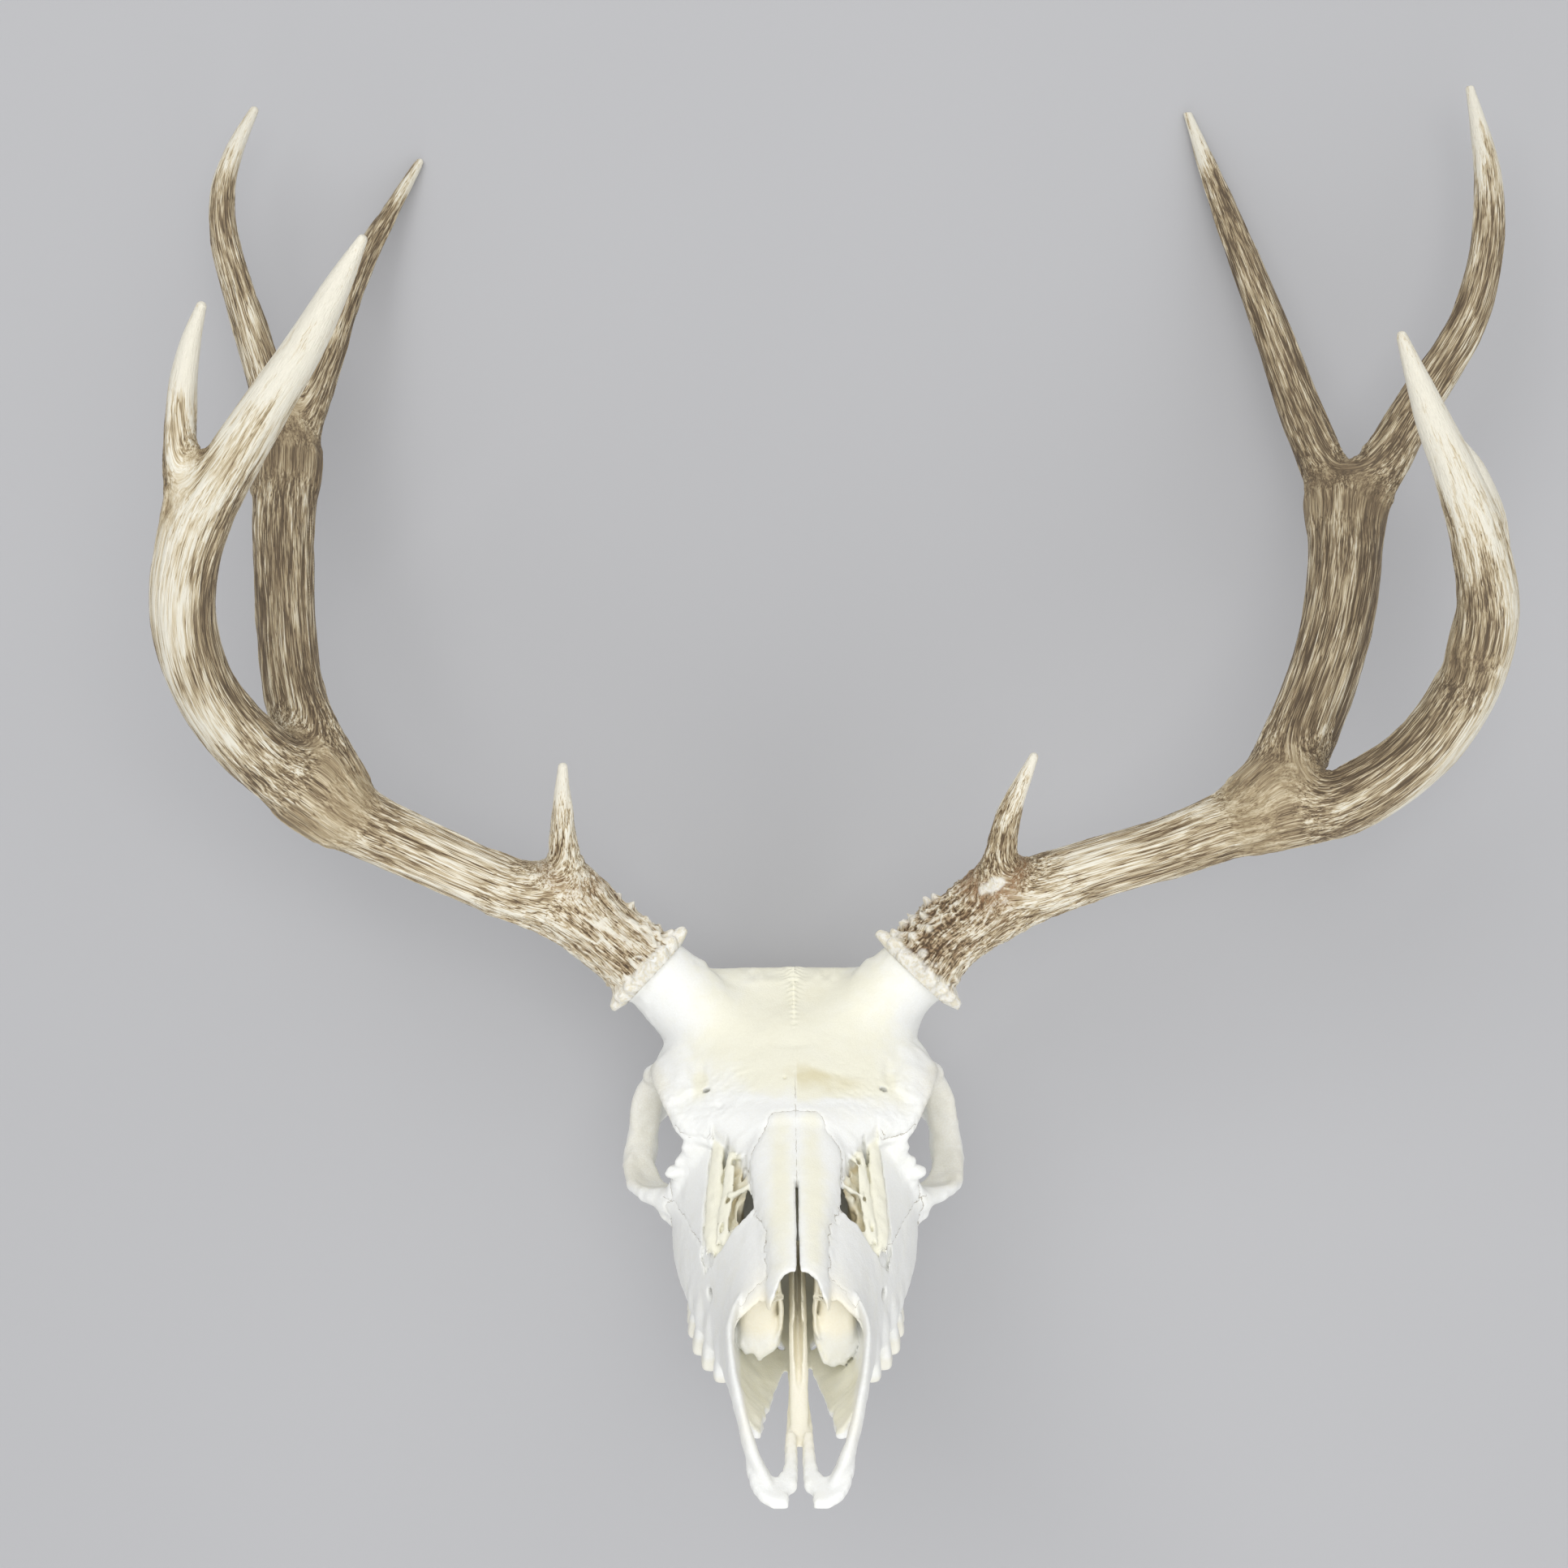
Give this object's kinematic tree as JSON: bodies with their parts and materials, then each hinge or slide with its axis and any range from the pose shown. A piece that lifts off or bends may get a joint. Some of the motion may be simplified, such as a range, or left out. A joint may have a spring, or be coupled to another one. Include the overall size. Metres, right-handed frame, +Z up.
{
  "type": "mule deer skull with antlers",
  "caption": "Bare skull of a mule deer buck with forked antlers, a still life-size display model that rests on the back of its head and on its antler tips, nose up.",
  "frame": {"origin": "middle of the bounding box's footprint, on the surface the skull lies on", "axes": "+X to the viewer's right across the antlers, +Y from the nose towards the antler tips, +Z up towards the nose"},
  "size_m": [0.505, 0.4968, 0.2563],
  "materials": {
    "bone": "matte",
    "antler": "matte",
    "antler_tip": "satin"
  },
  "bodies": {
    "root": {"frontal_left": "bone", "frontal_right": "bone", "nasal_left": "bone", "nasal_right": "bone", "premaxilla_left": "bone", "premaxilla_right": "bone", "maxilla_left": "bone", "maxilla_right": "bone", "lacrimal_left": "bone", "lacrimal_right": "bone", "zygomatic_left": "bone", "zygomatic_right": "bone", "vomer": "bone", "braincase": "bone", "occipital": "bone", "antler_left_base": "antler", "antler_left_brow_tine": "antler_tip", "antler_left_rear_beam": "antler", "antler_left_rear_inner_tine": "antler_tip", "antler_left_rear_outer_tine": "antler_tip", "antler_left_front_beam": "antler", "antler_left_front_tine": "antler_tip", "antler_right_base": "antler", "antler_right_brow_tine": "antler_tip", "antler_right_rear_beam": "antler", "antler_right_rear_inner_tine": "antler_tip", "antler_right_rear_outer_tine": "antler_tip", "antler_right_front_beam": "antler", "antler_right_front_tine": "antler_tip"}
  },
  "joints": []
}
